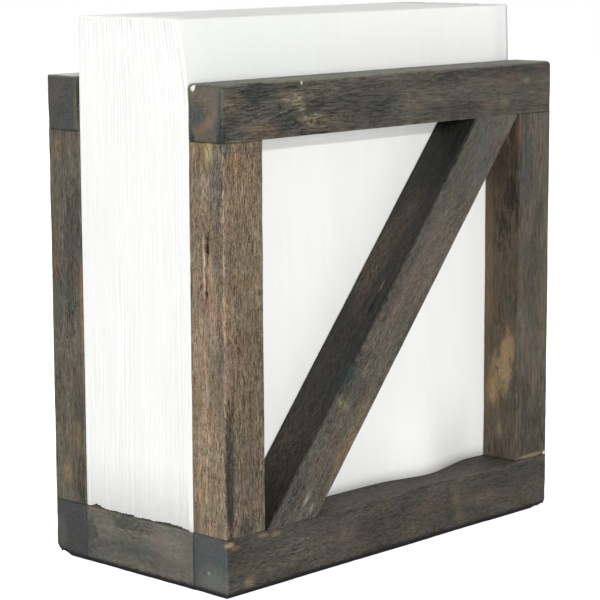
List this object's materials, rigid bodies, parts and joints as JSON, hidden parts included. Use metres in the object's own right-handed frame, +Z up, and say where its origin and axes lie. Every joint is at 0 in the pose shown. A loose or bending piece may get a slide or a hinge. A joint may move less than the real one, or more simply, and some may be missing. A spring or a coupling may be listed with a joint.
{
  "type": "napkin holder",
  "caption": "Rustic wooden napkin holder: square stick frames with diagonal braces, tied by base cross rails, holding an upright stack of folded paper napkins.",
  "frame": {"origin": "middle of the footprint, on the surface that the holder stands on", "axes": "+X along the frames to the right seen from the front, -Y towards the front frame, +Z up"},
  "size_m": [0.167, 0.0836, 0.185],
  "materials": {
    "weathered_wood": "matte",
    "brad_steel": "satin",
    "napkin_paper": "matte"
  },
  "bodies": {
    "holder": {"front_top_rail": "weathered_wood", "front_bottom_rail": "weathered_wood", "front_left_stile": "weathered_wood", "front_right_stile": "weathered_wood", "front_brace": "weathered_wood", "back_top_rail": "weathered_wood", "back_bottom_rail": "weathered_wood", "back_left_stile": "weathered_wood", "back_right_stile": "weathered_wood", "back_brace": "weathered_wood", "left_cross_rail": "weathered_wood", "middle_cross_rail": "weathered_wood", "right_cross_rail": "weathered_wood", "front_frame_brads": "brad_steel", "back_frame_brads": "brad_steel", "cross_rail_brads": "brad_steel"},
    "stack": {"napkin_stack": "napkin_paper"},
    "single_napkin": {"front_napkin": "napkin_paper"}
  },
  "joints": [
    {"name": "stack_lift", "type": "slide", "parent": "holder", "child": "stack", "axis": [0, 0, 1], "range_m": [0, 0.17]},
    {"name": "front_napkin_lift", "type": "slide", "parent": "stack", "child": "single_napkin", "axis": [0, 0, 1], "range_m": [0, 0.17]}
  ]
}
